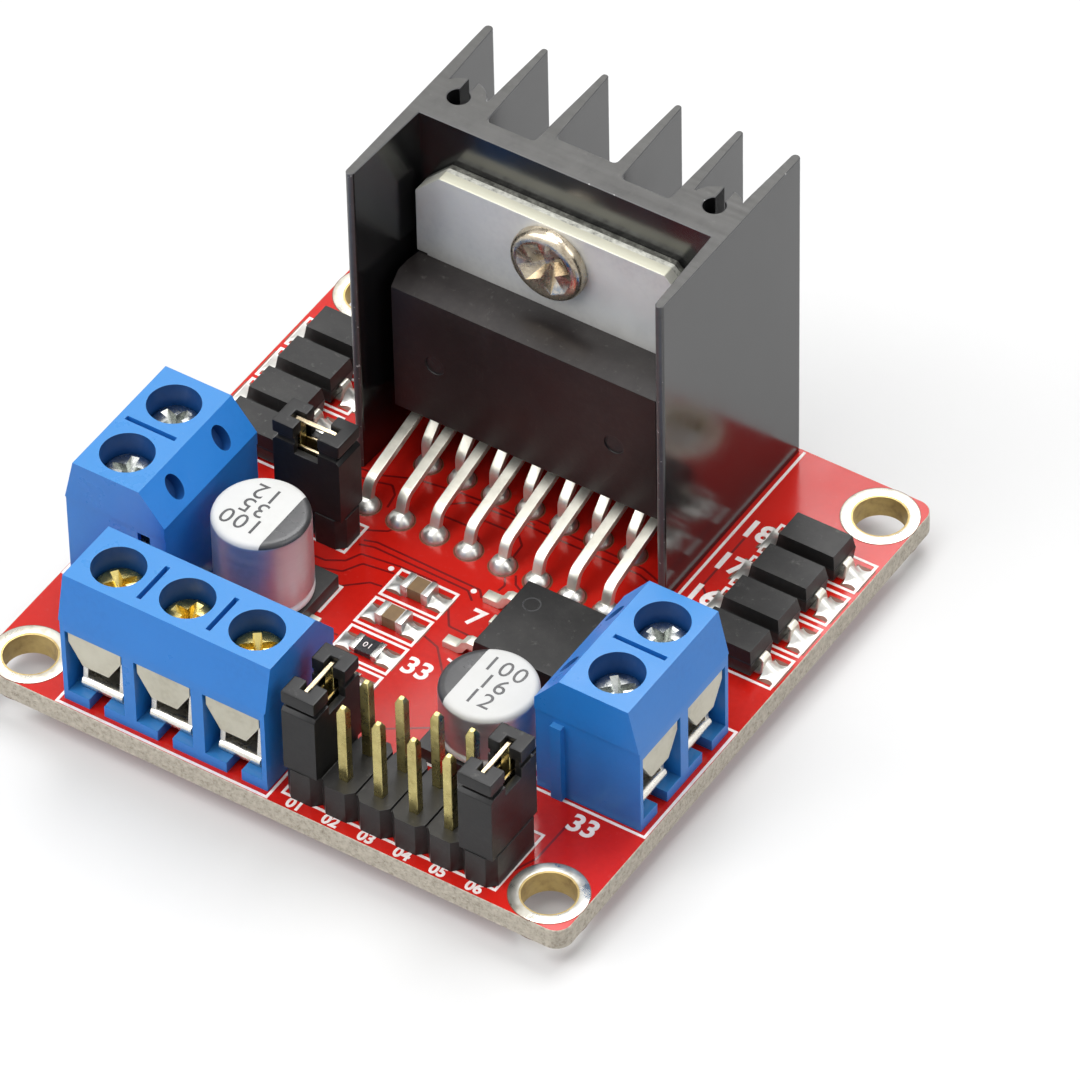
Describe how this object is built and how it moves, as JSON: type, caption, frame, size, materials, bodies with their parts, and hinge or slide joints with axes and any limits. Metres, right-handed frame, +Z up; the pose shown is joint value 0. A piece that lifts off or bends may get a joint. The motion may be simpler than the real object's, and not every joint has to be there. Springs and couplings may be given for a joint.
{
  "type": "dc motor driver module",
  "caption": "Square circuit board with a power chip bolted to a finned heatsink, screw terminals, a pin header with jumper caps, can capacitors, a regulator and diodes.",
  "frame": {"origin": "centre of the four mounting holes, on the board's underside", "axes": "+Z up out of the board's top, +Y towards the heatsink, +X to the right seen from the header's edge"},
  "size_m": [0.0432, 0.0432, 0.028],
  "materials": {
    "ceramic": "tan ceramic with tinned ends",
    "chip_moulding": "charcoal moulding compound",
    "tinned_lead": "tinned copper",
    "resistor_film": "black glaze with tinned ends",
    "nickel_screw": "nickel plated steel",
    "nickel_tab": "nickel plated copper",
    "solder_mask": "satin red solder mask over glass fibre laminate",
    "black_moulding": "black thermoplastic",
    "gold_pin": "gold flashed brass",
    "black_anodised": "black anodised extrusion",
    "tin_pin": "tinned steel",
    "lamp_resin": "milky resin with tinned ends",
    "solder": "bright tin solder",
    "terminal_cage": "nickel plated brass",
    "terminal_screw": "zinc plated steel",
    "diode_moulding": "dark grey moulding compound",
    "brass_clip": "plain brass",
    "terminal_contact": "tinned brass",
    "blue_moulding": "blue glass-filled nylon",
    "can_base": "black moulding",
    "bare_can": "brushed aluminium",
    "tinned_tab": "tinned steel"
  },
  "bodies": {
    "module": {"ceramic_capacitors": "ceramic", "chip_body": "chip_moulding", "chip_front_leads": "tinned_lead", "chip_rear_leads": "tinned_lead", "chip_resistor": "resistor_film", "chip_screw": "nickel_screw", "chip_tab": "nickel_tab", "circuit_board": "solder_mask", "control_header_block": "black_moulding", "control_header_pins": "gold_pin", "heatsink": "black_anodised", "heatsink_pins": "tin_pin", "indicator_lamp": "lamp_resin", "lead_solder_beads": "solder", "left_diode_bodies": "diode_moulding", "left_diode_leads": "tinned_lead", "left_terminal_contacts": "terminal_contact", "left_terminal_housing": "blue_moulding", "logic_capacitor_base": "can_base", "logic_capacitor_can": "bare_can", "logic_capacitor_tabs": "tinned_tab", "power_terminal_contacts": "terminal_contact", "power_terminal_housing": "blue_moulding", "regulator_body": "diode_moulding", "regulator_leads": "tinned_lead", "regulator_tab": "nickel_tab", "right_diode_bodies": "diode_moulding", "right_diode_leads": "tinned_lead", "right_terminal_contacts": "terminal_contact", "right_terminal_housing": "blue_moulding", "supply_capacitor_base": "can_base", "supply_capacitor_can": "bare_can", "supply_capacitor_tabs": "tinned_tab", "supply_header_block": "black_moulding", "supply_header_pins": "gold_pin", "surface_solder": "solder", "underside_solder": "solder"},
    "left_enable_jumper": {"left_enable_jumper_cap": "black_moulding", "left_enable_jumper_clip": "brass_clip"},
    "right_enable_jumper": {"right_enable_jumper_cap": "black_moulding", "right_enable_jumper_clip": "brass_clip"},
    "supply_jumper": {"supply_jumper_cap": "black_moulding", "supply_jumper_clip": "brass_clip"},
    "power_clamp_screw_1": {"power_clamp_screw_1": "terminal_screw"},
    "power_clamp_cage_1": {"power_clamp_cage_1": "terminal_cage"},
    "power_clamp_screw_2": {"power_clamp_screw_2": "terminal_screw"},
    "power_clamp_cage_2": {"power_clamp_cage_2": "terminal_cage"},
    "power_clamp_screw_3": {"power_clamp_screw_3": "terminal_screw"},
    "power_clamp_cage_3": {"power_clamp_cage_3": "terminal_cage"},
    "left_clamp_screw_1": {"left_clamp_screw_1": "terminal_screw"},
    "left_clamp_cage_1": {"left_clamp_cage_1": "terminal_cage"},
    "left_clamp_screw_2": {"left_clamp_screw_2": "terminal_screw"},
    "left_clamp_cage_2": {"left_clamp_cage_2": "terminal_cage"},
    "right_clamp_screw_1": {"right_clamp_screw_1": "terminal_screw"},
    "right_clamp_cage_1": {"right_clamp_cage_1": "terminal_cage"},
    "right_clamp_screw_2": {"right_clamp_screw_2": "terminal_screw"},
    "right_clamp_cage_2": {"right_clamp_cage_2": "terminal_cage"}
  },
  "joints": [
    {"name": "left_enable_jumper_lift", "type": "slide", "parent": "module", "child": "left_enable_jumper", "axis": [0, 0, 1], "range_m": [0, 0.007]},
    {"name": "right_enable_jumper_lift", "type": "slide", "parent": "module", "child": "right_enable_jumper", "axis": [0, 0, 1], "range_m": [0, 0.007]},
    {"name": "supply_jumper_lift", "type": "slide", "parent": "module", "child": "supply_jumper", "axis": [0, 0, 1], "range_m": [0, 0.007]},
    {"name": "power_screw_1_turn", "type": "hinge", "parent": "module", "child": "power_clamp_screw_1", "pos_m": [-0.01267, -0.01788, 0.0086], "axis": [0, 0, -1], "range_deg": [0, 1040]},
    {"name": "power_cage_1_rise", "type": "slide", "parent": "module", "child": "power_clamp_cage_1", "axis": [0, 0, 1], "range_m": [0, 0.00144]},
    {"name": "power_screw_2_turn", "type": "hinge", "parent": "module", "child": "power_clamp_screw_2", "pos_m": [-0.00759, -0.01788, 0.0086], "axis": [0, 0, -1], "range_deg": [0, 1040]},
    {"name": "power_cage_2_rise", "type": "slide", "parent": "module", "child": "power_clamp_cage_2", "axis": [0, 0, 1], "range_m": [0, 0.00144]},
    {"name": "power_screw_3_turn", "type": "hinge", "parent": "module", "child": "power_clamp_screw_3", "pos_m": [-0.00251, -0.01788, 0.0086], "axis": [0, 0, -1], "range_deg": [0, 1040]},
    {"name": "power_cage_3_rise", "type": "slide", "parent": "module", "child": "power_clamp_cage_3", "axis": [0, 0, 1], "range_m": [0, 0.00144]},
    {"name": "left_screw_1_turn", "type": "hinge", "parent": "module", "child": "left_clamp_screw_1", "pos_m": [-0.01788, -0.00432, 0.0086], "axis": [0, 0, -1], "range_deg": [0, 1040]},
    {"name": "left_cage_1_rise", "type": "slide", "parent": "module", "child": "left_clamp_cage_1", "axis": [0, 0, 1], "range_m": [0, 0.00144]},
    {"name": "left_screw_2_turn", "type": "hinge", "parent": "module", "child": "left_clamp_screw_2", "pos_m": [-0.01788, -0.0094, 0.0086], "axis": [0, 0, -1], "range_deg": [0, 1040]},
    {"name": "left_cage_2_rise", "type": "slide", "parent": "module", "child": "left_clamp_cage_2", "axis": [0, 0, 1], "range_m": [0, 0.00144]},
    {"name": "right_screw_1_turn", "type": "hinge", "parent": "module", "child": "right_clamp_screw_1", "pos_m": [0.01788, -0.0094, 0.0086], "axis": [0, 0, -1], "range_deg": [0, 1040]},
    {"name": "right_cage_1_rise", "type": "slide", "parent": "module", "child": "right_clamp_cage_1", "axis": [0, 0, 1], "range_m": [0, 0.00144]},
    {"name": "right_screw_2_turn", "type": "hinge", "parent": "module", "child": "right_clamp_screw_2", "pos_m": [0.01788, -0.00432, 0.0086], "axis": [0, 0, -1], "range_deg": [0, 1040]},
    {"name": "right_cage_2_rise", "type": "slide", "parent": "module", "child": "right_clamp_cage_2", "axis": [0, 0, 1], "range_m": [0, 0.00144]}
  ],
  "couplings": [
    {"joint": "power_screw_1_turn", "follows": "power_cage_1_rise", "rad_per_m": 12566},
    {"joint": "power_screw_2_turn", "follows": "power_cage_2_rise", "rad_per_m": 12566},
    {"joint": "power_screw_3_turn", "follows": "power_cage_3_rise", "rad_per_m": 12566},
    {"joint": "left_screw_1_turn", "follows": "left_cage_1_rise", "rad_per_m": 12566},
    {"joint": "left_screw_2_turn", "follows": "left_cage_2_rise", "rad_per_m": 12566},
    {"joint": "right_screw_1_turn", "follows": "right_cage_1_rise", "rad_per_m": 12566},
    {"joint": "right_screw_2_turn", "follows": "right_cage_2_rise", "rad_per_m": 12566}
  ]
}
